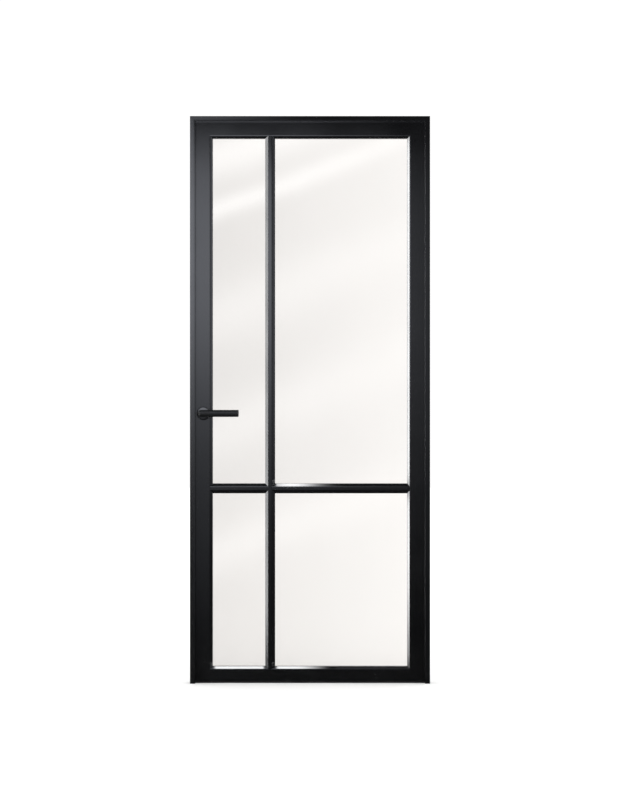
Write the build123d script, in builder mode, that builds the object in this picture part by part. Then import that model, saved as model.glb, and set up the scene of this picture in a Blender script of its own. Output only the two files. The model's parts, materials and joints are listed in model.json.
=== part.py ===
from build123d import *
import os

# Glazed interior door with its frame, in millimetres.
# X runs to the right and Z up, seen from the front, and Y away from the viewer.
# The origin is on the floor, midway between the jambs, at the middle of the leaf's thickness.
# The leaf hangs on the right and swings away from the viewer.

os.makedirs("parts", exist_ok=True)

# ---------------------------------------------------------------- leaf
LEAF_W = 880.0
LEAF_T = 40.0
LEAF_Z0 = 6.0
LEAF_Z1 = 2121.0
WALL = 2.0                # wall of the tubular stiles, rails and bars
EDGE_ROUND = 1.0          # rolled outer edges of the sections
BEVEL_ROUND = 0.8         # rolled edges of the bevels, at the daylight edge
FACE_ROUND = 8.0          # wide round where a bevel runs out into the face
BEAD_ROUND = 0.6          # edges of the beads, and the edges that they lie against

SIGHT_L = -366.4          # daylight edges of the glass, left, right, top and bottom
SIGHT_R = 366.4
SIGHT_T = 2050.0
SIGHT_B = 62.5
REBATE = 14.0             # depth of the glazing rebate behind the daylight edge
BEVEL_W = 10.0            # the bevel round each pane, across the face
BEVEL_D = 6.0             # and into the depth of the leaf
SEAT = 5.0                # half the depth that glass and gasket take up

BAR_X = -150.0            # middle of the vertical bar
BAR_Z = 732.5             # middle of the cross bar
BAR_FLAT = 13.0           # flat face of a bar
BAR_W = 37.0              # bar from daylight edge to daylight edge
BAR_WEB = 9.0             # web between two rebates

GLASS_T = 6.0
GLASS_BITE = 9.0          # glass held behind the daylight edge
GASKET_T = 2.0
BEAD_WALL = 1.5
BEAD_GAP = 0.15           # hairline at each mitre of the beads
BLOCK_H = REBATE - GLASS_BITE - GASKET_T

# ---------------------------------------------------------------- frame
GAP = 3.0                 # leaf to frame, at the sides and the top
WEB = 8.0                 # thickness of the frame beside the leaf
FRAME_X = LEAF_W / 2 + GAP + WEB
FRAME_H = LEAF_Z1 + GAP + WEB
STOP = 11.0               # how far the stop stands in from the web
FRAME_Y0 = -50.0
FRAME_Y1 = LEAF_T / 2
STOP_Y = -23.0            # rear face of the stop
FRAME_SLOPE_W = 14.0      # the frame's face slopes back towards its outer edge
FRAME_SLOPE_D = 2.5
INNER_ROUND = 0.4         # inner front edge of the frame
CLEAT_T = 3.6
SEAL_W = 8.0
SEAL_H = 2.7

WALL_FIX_R = 3.25         # holes for the wall fixings
WALL_FIX_CSK = 6.5
WALL_FIX_Z = (115.0, 640.0, 1490.0, 2015.0)

# ---------------------------------------------------------------- hinges
HINGE_Z = (225.0, 1065.0, 1905.0)
HINGE_H = 89.0
PLATE_T = 2.5
PLATE_Y0 = -8.0
PIN_X = LEAF_W / 2 + GAP / 2
PIN_Y = 27.0
PIN_R = 3.0
PIN_BORE = 3.05
KNUCKLE_R = 6.5
KNUCKLES = 5
KNUCKLE_GAP = 0.3
STIFFENER = 6.0           # plates welded inside the stiles behind hinges and lock

# ---------------------------------------------------------------- lock and handle
HANDLE_X = -401.0
HANDLE_Z = 1015.0
CASE_X0 = -437.5
CASE_X1 = -383.0
CASE_Z0 = 955.0
CASE_Z1 = 1071.0
CASE_Y = 7.0
SHEET = 1.5
PLATE_C = 1013.0          # middle of the faceplate
PLATE_H = 170.0
PLATE_W = 20.0
FACE_T = 2.5
LATCH_Z = HANDLE_Z + 28.0
LATCH_THROW = 9.5
LATCH_W = 10.4
LATCH_H = 16.0
STRIKE_H = 70.0
STRIKE_T = 2.0
SQUARE = 8.0
ROSETTE_R = 25.0
ROSETTE_T = 9.0
BASE_R = 23.3
BASE_T = 6.8
LEVER_R = 10.0            # neck of the lever
GRIP_H = 26.0             # oval grip, high
GRIP_D = 15.0             # and deep
LEVER_Y = 72.5            # axis of the grip, from the middle of the leaf
LEVER_TIP = -270.5
GRIP_BACK = 7.5           # how far the grip runs past the neck
BOLT_PITCH = 38.0
BOLT_R = 2.0

T2 = LEAF_T / 2
EDGE = LEAF_W / 2
REB_L = SIGHT_L - REBATE
REB_R = SIGHT_R + REBATE
REB_T = SIGHT_T + REBATE
REB_B = SIGHT_B - REBATE
HALF_WEB = BAR_WEB / 2

# The four panes, from rebate wall to rebate wall: left, right, bottom, top.
PANES = {
    "upper_left": (REB_L, BAR_X - HALF_WEB, BAR_Z + HALF_WEB, REB_T),
    "upper_right": (BAR_X + HALF_WEB, REB_R, BAR_Z + HALF_WEB, REB_T),
    "lower_left": (REB_L, BAR_X - HALF_WEB, REB_B, BAR_Z - HALF_WEB),
    "lower_right": (BAR_X + HALF_WEB, REB_R, REB_B, BAR_Z - HALF_WEB),
}


def outline(points):
    """A closed face from its corners, in the sketch that is open."""
    with BuildLine(mode=Mode.PRIVATE) as line:
        Polyline(*points, close=True)
    make_face(line.edges())


def round_at(sketch, corners, radius):
    """Rounds the corners of a sketch that stand at the given places."""
    fillet(
        [
            v
            for v in sketch.vertices()
            if any(abs(v.X - a) < 1e-3 and abs(v.Y - b) < 1e-3 for a, b in corners)
        ],
        radius,
    )


def stile_outline(side):
    """Section of a stile in X and Y: side -1 is the lock side, 1 the hinge side."""
    edge = side * EDGE
    sight = SIGHT_R if side > 0 else SIGHT_L
    flat = sight + side * BEVEL_W
    rebate = sight + side * REBATE
    return [
        (edge, -T2),
        (flat, -T2),
        (sight, -T2 + BEVEL_D),
        (sight, -SEAT),
        (rebate, -SEAT),
        (rebate, T2),
        (edge, T2),
    ]


def rail_outline(side):
    """Section of a rail in Y and Z: side 1 is the top rail, -1 the bottom rail."""
    edge = LEAF_Z1 if side > 0 else LEAF_Z0
    sight = SIGHT_T if side > 0 else SIGHT_B
    flat = sight + side * BEVEL_W
    rebate = sight + side * REBATE
    return [
        (-T2, edge),
        (-T2, flat),
        (-T2 + BEVEL_D, sight),
        (-SEAT, sight),
        (-SEAT, rebate),
        (T2, rebate),
        (T2, edge),
    ]


def bar_outline(middle):
    """T-section of a glazing bar, across the bar and in depth."""
    a, b, w = BAR_FLAT / 2, BAR_W / 2, BAR_WEB / 2
    return [
        (middle - a, -T2),
        (middle + a, -T2),
        (middle + b, -T2 + BEVEL_D),
        (middle + b, -SEAT),
        (middle + w, -SEAT),
        (middle + w, T2),
        (middle - w, T2),
        (middle - w, -SEAT),
        (middle - b, -SEAT),
        (middle - b, -T2 + BEVEL_D),
    ]


def turned(points):
    """The same outline with its two directions exchanged."""
    return [(b, a) for a, b in points]


def prism_xy(points, z0, z1, mode=Mode.ADD):
    """Adds or removes an upright prism."""
    with BuildSketch(Plane.XY.offset(z0), mode=Mode.PRIVATE) as face:
        outline(points)
    extrude(face.sketch, amount=z1 - z0, mode=mode)


def prism_yz(points, x0, x1, mode=Mode.ADD):
    """Adds or removes a prism that runs along X."""
    with BuildSketch(Plane.YZ.offset(x0), mode=Mode.PRIVATE) as face:
        outline(points)
    extrude(face.sketch, amount=x1 - x0, mode=mode)


def cut_xz(points, mode=Mode.SUBTRACT):
    """Cuts an outline drawn on the face right through the depth of the leaf and frame."""
    with BuildSketch(Plane.XZ, mode=Mode.PRIVATE) as face:
        outline(points)
    extrude(face.sketch, amount=120, both=True, mode=mode)


def block(x0, x1, y0, y1, z0, z1, mode=Mode.ADD):
    """A rectangular block between two corners."""
    with Locations(((x0 + x1) / 2, (y0 + y1) / 2, (z0 + z1) / 2)):
        Box(x1 - x0, y1 - y0, z1 - z0, mode=mode)


def countersunk(sets, head_r, shank_r, length, socket_r):
    """A set of equal countersunk screws. Each entry of sets is a plane on the heads' faces and the places of the screws on it."""
    with BuildPart() as screws:
        for plane, places in sets:
            with BuildSketch(plane.offset(-0.05)):
                with Locations(*places):
                    Circle(head_r)
            extrude(amount=-(head_r - shank_r), taper=45)
            with BuildSketch(plane.offset(-0.05 - (head_r - shank_r) + 0.01)):
                with Locations(*places):
                    Circle(shank_r)
            extrude(amount=-(length - (head_r - shank_r)))
            with BuildSketch(plane.offset(-0.05)):
                with Locations(*places):
                    RegularPolygon(radius=socket_r, side_count=6)
            extrude(amount=-1.2, mode=Mode.SUBTRACT)
    return screws


FACE_LEAF_HINGE = Plane(origin=(EDGE, 0, 0), x_dir=(0, 1, 0), z_dir=(1, 0, 0))
FACE_FRAME_HINGE = Plane(origin=(EDGE + GAP, 0, 0), x_dir=(0, -1, 0), z_dir=(-1, 0, 0))
FACE_LEAF_LOCK = Plane(origin=(-EDGE, 0, 0), x_dir=(0, -1, 0), z_dir=(-1, 0, 0))
FACE_FRAME_LOCK = Plane(origin=(-EDGE - GAP, 0, 0), x_dir=(0, 1, 0), z_dir=(1, 0, 0))

# Screws of a hinge plate: depth in Y and height from the hinge's middle.
HINGE_SCREWS = ((12.5, -34.0), (2.0, -13.0), (2.0, 13.0), (12.5, 34.0))

# =============================================================== stiles
with BuildPart() as stile_lock_side:
    with BuildSketch(Plane.XY.offset(LEAF_Z0)) as section:
        outline(stile_outline(-1))
        offset(amount=-WALL, kind=Kind.INTERSECTION, mode=Mode.SUBTRACT)
        round_at(section, [(-EDGE, -T2), (-EDGE, T2)], EDGE_ROUND)
        round_at(section, [(SIGHT_L - BEVEL_W, -T2)], FACE_ROUND)
        round_at(section, [(SIGHT_L, -T2 + BEVEL_D)], BEVEL_ROUND)
        round_at(section, [(REB_L, T2)], BEAD_ROUND)
    extrude(amount=LEAF_Z1 - LEAF_Z0)
    # the lip is mitred against the rails' lips, and ends at their tubes
    cut_xz([(REB_L, REB_T), (SIGHT_L + 5, SIGHT_T - 5), (SIGHT_L + 5, 2140), (REB_L, 2140)])
    cut_xz([(REB_L, REB_B), (SIGHT_L + 5, SIGHT_B + 5), (SIGHT_L + 5, -10), (REB_L, -10)])
    # stiffening plates behind the ends of the faceplate
    for z0, z1 in ((PLATE_C - 90, CASE_Z0 - 3), (CASE_Z1 + 3, PLATE_C + 90)):
        block(-EDGE + WALL, -EDGE + WALL + STIFFENER, -T2 + WALL, T2 - WALL, z0, z1)
    # recess for the faceplate, open behind it for the lock
    with BuildSketch(FACE_LEAF_LOCK.offset(-FACE_T)):
        with Locations((0, PLATE_C)):
            SlotCenterToCenter(PLATE_H - PLATE_W, PLATE_W + 0.3, rotation=90)
    extrude(amount=FACE_T + 2, mode=Mode.SUBTRACT)
    # tapped holes of the faceplate's screws
    with BuildSketch(FACE_LEAF_LOCK):
        with Locations((0, PLATE_C - 72), (0, PLATE_C + 72)):
            Circle(2.55)
    extrude(amount=-12, mode=Mode.SUBTRACT)
    # holes for the spindle and the two through bolts
    with BuildSketch(Plane.XZ):
        with Locations((HANDLE_X, HANDLE_Z)):
            Circle(9)
        with Locations((HANDLE_X, HANDLE_Z - BOLT_PITCH / 2), (HANDLE_X, HANDLE_Z + BOLT_PITCH / 2)):
            Circle(2.3)
    extrude(amount=30, both=True, mode=Mode.SUBTRACT)
    # access holes in the edge and clearance holes in the rebate wall, for the corner screws
    with BuildSketch(FACE_LEAF_LOCK):
        with Locations((0, 17.0), (0, 35.0), (0, 2078.0), (0, 2105.0)):
            Circle(5.6)
    extrude(amount=-10, mode=Mode.SUBTRACT)
    with BuildSketch(FACE_LEAF_LOCK):
        with Locations((0, 17.0), (0, 35.0), (0, 2078.0), (0, 2105.0)):
            Circle(3.2)
    extrude(amount=-70, mode=Mode.SUBTRACT)
stile_lock_side.part.label = "stile_lock_side"
export_step(stile_lock_side.part, "parts/stile_lock_side.step")

with BuildPart() as stile_hinge_side:
    with BuildSketch(Plane.XY.offset(LEAF_Z0)) as section:
        outline(stile_outline(1))
        offset(amount=-WALL, kind=Kind.INTERSECTION, mode=Mode.SUBTRACT)
        round_at(section, [(EDGE, -T2), (EDGE, T2)], EDGE_ROUND)
        round_at(section, [(SIGHT_R + BEVEL_W, -T2)], FACE_ROUND)
        round_at(section, [(SIGHT_R, -T2 + BEVEL_D)], BEVEL_ROUND)
        round_at(section, [(REB_R, T2)], BEAD_ROUND)
    extrude(amount=LEAF_Z1 - LEAF_Z0)
    cut_xz([(REB_R, REB_T), (SIGHT_R - 5, SIGHT_T - 5), (SIGHT_R - 5, 2140), (REB_R, 2140)])
    cut_xz([(REB_R, REB_B), (SIGHT_R - 5, SIGHT_B + 5), (SIGHT_R - 5, -10), (REB_R, -10)])
    for zc in HINGE_Z:
        block(EDGE - WALL - STIFFENER, EDGE - WALL, -T2 + WALL, T2 - WALL, zc - 55, zc + 55)
        # recess of the hinge plate, open at the back of the leaf
        with BuildSketch(FACE_LEAF_HINGE.offset(-PLATE_T)) as recess:
            with Locations(((PLATE_Y0 - 0.15 + 30) / 2, zc)):
                Rectangle(30 - PLATE_Y0 + 0.15, HINGE_H + 0.3)
            fillet(recess.vertices().group_by(Axis.X)[0], 6.15)
        extrude(amount=PLATE_T + 2, mode=Mode.SUBTRACT)
        with BuildSketch(FACE_LEAF_HINGE):
            with Locations(*[(y, zc + z) for y, z in HINGE_SCREWS]):
                Circle(2.55)
        extrude(amount=-12, mode=Mode.SUBTRACT)
    with BuildSketch(FACE_LEAF_HINGE):
        with Locations((0, 17.0), (0, 35.0), (0, 2078.0), (0, 2105.0)):
            Circle(5.6)
    extrude(amount=-10, mode=Mode.SUBTRACT)
    with BuildSketch(FACE_LEAF_HINGE):
        with Locations((0, 17.0), (0, 35.0), (0, 2078.0), (0, 2105.0)):
            Circle(3.2)
    extrude(amount=-60, mode=Mode.SUBTRACT)
stile_hinge_side.part.label = "stile_hinge_side"
export_step(stile_hinge_side.part, "parts/stile_hinge_side.step")

# =============================================================== rails
with BuildPart() as top_rail:
    with BuildSketch(Plane.YZ.offset(REB_L)) as section:
        outline(rail_outline(1))
        offset(amount=-WALL, kind=Kind.INTERSECTION, mode=Mode.SUBTRACT)
        round_at(section, [(-T2, LEAF_Z1), (T2, LEAF_Z1)], EDGE_ROUND)
        round_at(section, [(-T2, SIGHT_T + BEVEL_W)], FACE_ROUND)
        round_at(section, [(-T2 + BEVEL_D, SIGHT_T)], BEVEL_ROUND)
        round_at(section, [(T2, REB_T)], BEAD_ROUND)
    extrude(amount=REB_R - REB_L)
    cut_xz([(REB_L - 1, REB_T + 1), (SIGHT_L + 1, SIGHT_T - 1), (REB_L - 1, SIGHT_T - 1)])
    cut_xz([(REB_R + 1, REB_T + 1), (SIGHT_R - 1, SIGHT_T - 1), (REB_R + 1, SIGHT_T - 1)])
top_rail.part.label = "top_rail"
export_step(top_rail.part, "parts/top_rail.step")

with BuildPart() as bottom_rail:
    with BuildSketch(Plane.YZ.offset(REB_L)) as section:
        outline(rail_outline(-1))
        offset(amount=-WALL, kind=Kind.INTERSECTION, mode=Mode.SUBTRACT)
        round_at(section, [(-T2, LEAF_Z0), (T2, LEAF_Z0)], EDGE_ROUND)
        round_at(section, [(-T2, SIGHT_B - BEVEL_W)], FACE_ROUND)
        round_at(section, [(-T2 + BEVEL_D, SIGHT_B)], BEVEL_ROUND)
        round_at(section, [(T2, REB_B)], BEAD_ROUND)
    extrude(amount=REB_R - REB_L)
    cut_xz([(REB_L - 1, REB_B - 1), (SIGHT_L + 1, SIGHT_B + 1), (REB_L - 1, SIGHT_B + 1)])
    cut_xz([(REB_R + 1, REB_B - 1), (SIGHT_R - 1, SIGHT_B + 1), (REB_R + 1, SIGHT_B + 1)])
bottom_rail.part.label = "bottom_rail"
export_step(bottom_rail.part, "parts/bottom_rail.step")

# =============================================================== glazing bars
# Each bar is a hollow T, coped over the bevels of the members that it meets.
def bar_edges(middle):
    """Corners of a bar's outline that are rounded: on its face, at the daylight edges, and at the back of its web."""
    a, b, w = BAR_FLAT / 2, BAR_W / 2, BAR_WEB / 2
    return (
        [(middle + s, -T2) for s in (-a, a)],
        [(middle + s, -T2 + BEVEL_D) for s in (-b, b)],
        [(middle + s, T2) for s in (-w, w)],
    )


with BuildPart() as vertical_bar:
    with BuildSketch(Plane.XY.offset(REB_B)) as section:
        outline(bar_outline(BAR_X))
        offset(amount=-WALL, kind=Kind.INTERSECTION, mode=Mode.SUBTRACT)
        round_at(section, bar_edges(BAR_X)[0], FACE_ROUND)
        round_at(section, bar_edges(BAR_X)[1], BEVEL_ROUND)
        round_at(section, bar_edges(BAR_X)[2], BEAD_ROUND)
    extrude(amount=REB_T - REB_B)
    prism_yz(rail_outline(1), BAR_X - 25, BAR_X + 25, mode=Mode.SUBTRACT)
    prism_yz(rail_outline(-1), BAR_X - 25, BAR_X + 25, mode=Mode.SUBTRACT)
vertical_bar.part.label = "vertical_bar"
export_step(vertical_bar.part, "parts/vertical_bar.step")

with BuildPart() as cross_bar_left:
    with BuildSketch(Plane.YZ.offset(REB_L)) as section:
        outline(turned(bar_outline(BAR_Z)))
        offset(amount=-WALL, kind=Kind.INTERSECTION, mode=Mode.SUBTRACT)
        round_at(section, turned(bar_edges(BAR_Z)[0]), FACE_ROUND)
        round_at(section, turned(bar_edges(BAR_Z)[1]), BEVEL_ROUND)
        round_at(section, turned(bar_edges(BAR_Z)[2]), BEAD_ROUND)
    extrude(amount=BAR_X - HALF_WEB - REB_L)
    prism_xy(stile_outline(-1), BAR_Z - 25, BAR_Z + 25, mode=Mode.SUBTRACT)
    prism_xy(bar_outline(BAR_X), BAR_Z - 25, BAR_Z + 25, mode=Mode.SUBTRACT)
cross_bar_left.part.label = "cross_bar_left"
export_step(cross_bar_left.part, "parts/cross_bar_left.step")

with BuildPart() as cross_bar_right:
    with BuildSketch(Plane.YZ.offset(BAR_X + HALF_WEB)) as section:
        outline(turned(bar_outline(BAR_Z)))
        offset(amount=-WALL, kind=Kind.INTERSECTION, mode=Mode.SUBTRACT)
        round_at(section, turned(bar_edges(BAR_Z)[0]), FACE_ROUND)
        round_at(section, turned(bar_edges(BAR_Z)[1]), BEVEL_ROUND)
        round_at(section, turned(bar_edges(BAR_Z)[2]), BEAD_ROUND)
    extrude(amount=REB_R - BAR_X - HALF_WEB)
    prism_xy(stile_outline(1), BAR_Z - 25, BAR_Z + 25, mode=Mode.SUBTRACT)
    prism_xy(bar_outline(BAR_X), BAR_Z - 25, BAR_Z + 25, mode=Mode.SUBTRACT)
cross_bar_right.part.label = "cross_bar_right"
export_step(cross_bar_right.part, "parts/cross_bar_right.step")

# Tenons on the rebate walls, over which the hollow webs of the bars slide.
TENON = 28.0
TENON_W = 2.3
with BuildPart() as bar_tenons:
    for z0, z1 in ((REB_B, REB_B + TENON), (REB_T - TENON, REB_T)):
        block(BAR_X - TENON_W, BAR_X + TENON_W, -2.0, 17.5, z0, z1)
    for x0, x1 in (
        (REB_L, REB_L + TENON),
        (BAR_X - HALF_WEB - TENON, BAR_X - HALF_WEB),
        (BAR_X + HALF_WEB, BAR_X + HALF_WEB + TENON),
        (REB_R - TENON, REB_R),
    ):
        block(x0, x1, -2.0, 17.5, BAR_Z - TENON_W, BAR_Z + TENON_W)
bar_tenons.part.label = "bar_tenons"
export_step(bar_tenons.part, "parts/bar_tenons.step")

# =============================================================== corner joints of the leaf
CORNER_BLOCK = 50.0
with BuildPart() as corner_blocks:
    for x0, x1 in ((REB_L, REB_L + CORNER_BLOCK), (REB_R - CORNER_BLOCK, REB_R)):
        block(x0, x1, -17.8, 17.8, REB_T + WALL + 0.2, LEAF_Z1 - WALL - 0.2)
        block(x0, x1, -17.8, 17.8, LEAF_Z0 + WALL + 0.2, REB_B - WALL - 0.2)
    with BuildSketch(Plane.YZ):
        with Locations((0, 17.0), (0, 35.0), (0, 2078.0), (0, 2105.0)):
            Circle(3.05)
    extrude(amount=400, both=True, mode=Mode.SUBTRACT)
corner_blocks.part.label = "corner_blocks"
export_step(corner_blocks.part, "parts/corner_blocks.step")

# Cylinder-head screws, whose heads bear on the rebate walls inside the stiles.
with BuildPart() as corner_screws:
    for plane in (
        Plane(origin=(REB_L - WALL, 0, 0), x_dir=(0, -1, 0), z_dir=(-1, 0, 0)),
        Plane(origin=(REB_R + WALL, 0, 0), x_dir=(0, 1, 0), z_dir=(1, 0, 0)),
    ):
        with BuildSketch(plane):
            with Locations((0, 17.0), (0, 35.0), (0, 2078.0), (0, 2105.0)):
                Circle(5.0)
        extrude(amount=5.0)
        with BuildSketch(plane):
            with Locations((0, 17.0), (0, 35.0), (0, 2078.0), (0, 2105.0)):
                Circle(3.0)
        extrude(amount=-35.0)
        with BuildSketch(plane.offset(5.0)):
            with Locations((0, 17.0), (0, 35.0), (0, 2078.0), (0, 2105.0)):
                RegularPolygon(radius=2.9, side_count=6)
        extrude(amount=-3.0, mode=Mode.SUBTRACT)
corner_screws.part.label = "corner_screws"
export_step(corner_screws.part, "parts/corner_screws.step")

# Plastic plugs in the access holes, nearly flush with the edge of the leaf.
with BuildPart() as screw_hole_plugs:
    for plane in (FACE_LEAF_LOCK, FACE_LEAF_HINGE):
        with BuildSketch(plane.offset(-5.0)):
            with Locations((0, 17.0), (0, 35.0), (0, 2078.0), (0, 2105.0)):
                Circle(5.5)
        extrude(amount=5.0)
        with BuildSketch(plane.offset(-5.0)):
            with Locations((0, 17.0), (0, 35.0), (0, 2078.0), (0, 2105.0)):
                Circle(4.3)
        extrude(amount=3.6, mode=Mode.SUBTRACT)
screw_hole_plugs.part.label = "screw_hole_plugs"
export_step(screw_hole_plugs.part, "parts/screw_hole_plugs.step")

with BuildPart() as stile_end_caps:
    for x0, x1 in ((-EDGE + WALL + 0.1, REB_L - WALL - 0.1), (REB_R + WALL + 0.1, EDGE - WALL - 0.1)):
        block(x0, x1, -T2 + WALL + 0.1, T2 - WALL - 0.1, LEAF_Z1 - 6, LEAF_Z1)
        block(x0, x1, -T2 + WALL + 0.1, T2 - WALL - 0.1, LEAF_Z0, LEAF_Z0 + 5)
        block(x0 + 1.6, x1 - 1.6, -T2 + WALL + 1.7, T2 - WALL - 1.7, LEAF_Z1 - 7, LEAF_Z1 - 2, mode=Mode.SUBTRACT)
        block(x0 + 1.6, x1 - 1.6, -T2 + WALL + 1.7, T2 - WALL - 1.7, LEAF_Z0 + 2, LEAF_Z0 + 7, mode=Mode.SUBTRACT)
stile_end_caps.part.label = "stile_end_caps"
export_step(stile_end_caps.part, "parts/stile_end_caps.step")

# =============================================================== glass, gaskets, blocks and beads
for name, (x0, x1, z0, z1) in PANES.items():
    edge = REBATE - GLASS_BITE
    with BuildPart() as glass:
        block(x0 + edge, x1 - edge, -GLASS_T / 2, GLASS_T / 2, z0 + edge, z1 - edge)
        chamfer(glass.edges(), 0.6)
    glass.part.label = "glass_" + name
    export_step(glass.part, "parts/glass_" + name + ".step")

    # channel of soft rubber pushed over the edge of the pane
    out = edge - GASKET_T
    inn = REBATE - 0.5
    with BuildPart() as gasket:
        block(x0 + out, x1 - out, -SEAT, SEAT, z0 + out, z1 - out)
        block(x0 + edge, x1 - edge, -GLASS_T / 2, GLASS_T / 2, z0 + edge, z1 - edge, mode=Mode.SUBTRACT)
        block(x0 + inn, x1 - inn, -SEAT, SEAT, z0 + inn, z1 - inn, mode=Mode.SUBTRACT)
    gasket.part.label = "gasket_" + name
    export_step(gasket.part, "parts/gasket_" + name + ".step")

with BuildPart() as setting_blocks:
    for x0, x1, z0, z1 in PANES.values():
        for x in (x0 + 55, x1 - 55):
            block(x - 25, x + 25, -4.0, 4.0, z0, z0 + BLOCK_H)
setting_blocks.part.label = "setting_blocks"
export_step(setting_blocks.part, "parts/setting_blocks.step")


def bead_section(wall, inward):
    """Section of a bead: depth in Y, and across from the rebate wall."""
    return [
        (SEAT, wall),
        (T2, wall),
        (T2, wall + inward * (REBATE - BEVEL_W)),
        (T2 - BEVEL_D, wall + inward * REBATE),
        (SEAT, wall + inward * REBATE),
    ]


def bead(plane, section, length, footprint):
    """One hollow bead, run out long on its plane and then mitred to its footprint."""
    with BuildPart() as strip:
        with BuildSketch(plane) as profile:
            outline(section)
            offset(amount=-BEAD_WALL, kind=Kind.INTERSECTION, mode=Mode.SUBTRACT)
            round_at(profile, section[1:4], BEAD_ROUND)
        extrude(amount=length)
        cut_xz(footprint, mode=Mode.INTERSECT)
    return strip.part


for name, (x0, x1, z0, z1) in PANES.items():
    g, r = BEAD_GAP, REBATE
    strips = [
        bead(Plane.YZ.offset(x0), bead_section(z0, 1), x1 - x0,
             [(x0 + g, z0), (x1 - g, z0), (x1 - r - g, z0 + r), (x0 + r + g, z0 + r)]),
        bead(Plane.YZ.offset(x0), bead_section(z1, -1), x1 - x0,
             [(x0 + g, z1), (x1 - g, z1), (x1 - r - g, z1 - r), (x0 + r + g, z1 - r)]),
        bead(Plane.XY.offset(z0), turned(bead_section(x0, 1)), z1 - z0,
             [(x0, z0 + g), (x0, z1 - g), (x0 + r, z1 - r - g), (x0 + r, z0 + r + g)]),
        bead(Plane.XY.offset(z0), turned(bead_section(x1, -1)), z1 - z0,
             [(x1, z0 + g), (x1, z1 - g), (x1 - r, z1 - r - g), (x1 - r, z0 + r + g)]),
    ]
    with BuildPart() as beads:
        for strip in strips:
            add(strip)
    beads.part.label = "beads_" + name
    export_step(beads.part, "parts/beads_" + name + ".step")

# =============================================================== frame
SEAL_X = LEAF_W / 2 + GAP - STOP / 2     # middle of the stop's rear face
SEAL_Z = LEAF_Z1 + GAP - STOP / 2


def jamb_outline(side):
    """Section of a jamb in X and Y."""
    a, b, c = side * FRAME_X, side * (FRAME_X - WEB), side * (FRAME_X - WEB - STOP)
    return [
        (a, FRAME_Y0 + FRAME_SLOPE_D), (a - side * FRAME_SLOPE_W, FRAME_Y0), (c, FRAME_Y0),
        (c, STOP_Y), (b, STOP_Y), (b, FRAME_Y1), (a, FRAME_Y1),
    ]


def jamb_mitre(side):
    """What the mitre takes off the top of a jamb."""
    return [
        (side * (FRAME_X + 1), FRAME_H + 1),
        (side * (FRAME_X - 21), FRAME_H - 21),
        (side * (FRAME_X - 21), FRAME_H + 8),
        (side * (FRAME_X + 1), FRAME_H + 8),
    ]


with BuildPart() as jamb_lock_side:
    with BuildSketch(Plane.XY) as section:
        outline(jamb_outline(-1))
        offset(amount=-WALL, kind=Kind.INTERSECTION, mode=Mode.SUBTRACT)
        with Locations((-SEAL_X, STOP_Y - 1)):
            Rectangle(3.0, 4.0, mode=Mode.SUBTRACT)
        round_at(section, [(-FRAME_X, FRAME_Y0 + FRAME_SLOPE_D), (-FRAME_X, FRAME_Y1), (-FRAME_X + WEB, FRAME_Y1)], EDGE_ROUND)
        round_at(section, [(-FRAME_X + WEB + STOP, FRAME_Y0)], INNER_ROUND)
    extrude(amount=FRAME_H)
    cut_xz(jamb_mitre(-1))
    # spacers inside the web at the wall fixings, and behind the strike plate's screws
    for z in WALL_FIX_Z:
        block(-FRAME_X + 1, -FRAME_X + WEB - 1, -15, 15, z - 20, z + 20)
    for z in (LATCH_Z - 26, LATCH_Z + 26):
        block(-FRAME_X + 1, -FRAME_X + WEB - 1, -15, 19, z - 13.5, z + 13.5)
    with Locations(*[FACE_FRAME_LOCK * Location((0, z, 0)) for z in WALL_FIX_Z]):
        CounterSinkHole(radius=WALL_FIX_R, counter_sink_radius=WALL_FIX_CSK, depth=WEB + 1, counter_sink_angle=90)
    # recess of the strike plate, and the pocket of the dust box behind it
    with BuildSketch(FACE_FRAME_LOCK.offset(-STRIKE_T)) as recess:
        with Locations(((-12.15 + 30) / 2, LATCH_Z)):
            Rectangle(42.15, STRIKE_H + 0.3)
        fillet(recess.vertices().group_by(Axis.X)[0], 4.15)
    extrude(amount=STRIKE_T + 1, mode=Mode.SUBTRACT)
    block(-FRAME_X - 1, -FRAME_X + WEB + 1, -7.5, 7.5, LATCH_Z - 11, LATCH_Z + 11, mode=Mode.SUBTRACT)
    with BuildSketch(FACE_FRAME_LOCK):
        with Locations((0, LATCH_Z - 26), (0, LATCH_Z + 26)):
            Circle(2.55)
    extrude(amount=-7.6, mode=Mode.SUBTRACT)
    # tapped holes of the corner cleat's screws
    with BuildSketch(FACE_FRAME_LOCK):
        with Locations((0, 2078.0), (0, 2104.0)):
            Circle(2.05)
    extrude(amount=-3, mode=Mode.SUBTRACT)
    with Locations(*[FACE_FRAME_LOCK * Location((0, z, 0)) for z in (2078.0, 2104.0)]):
        CounterSinkHole(radius=2.05, counter_sink_radius=3.7, depth=3, counter_sink_angle=90)
jamb_lock_side.part.label = "jamb_lock_side"
export_step(jamb_lock_side.part, "parts/jamb_lock_side.step")

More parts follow.
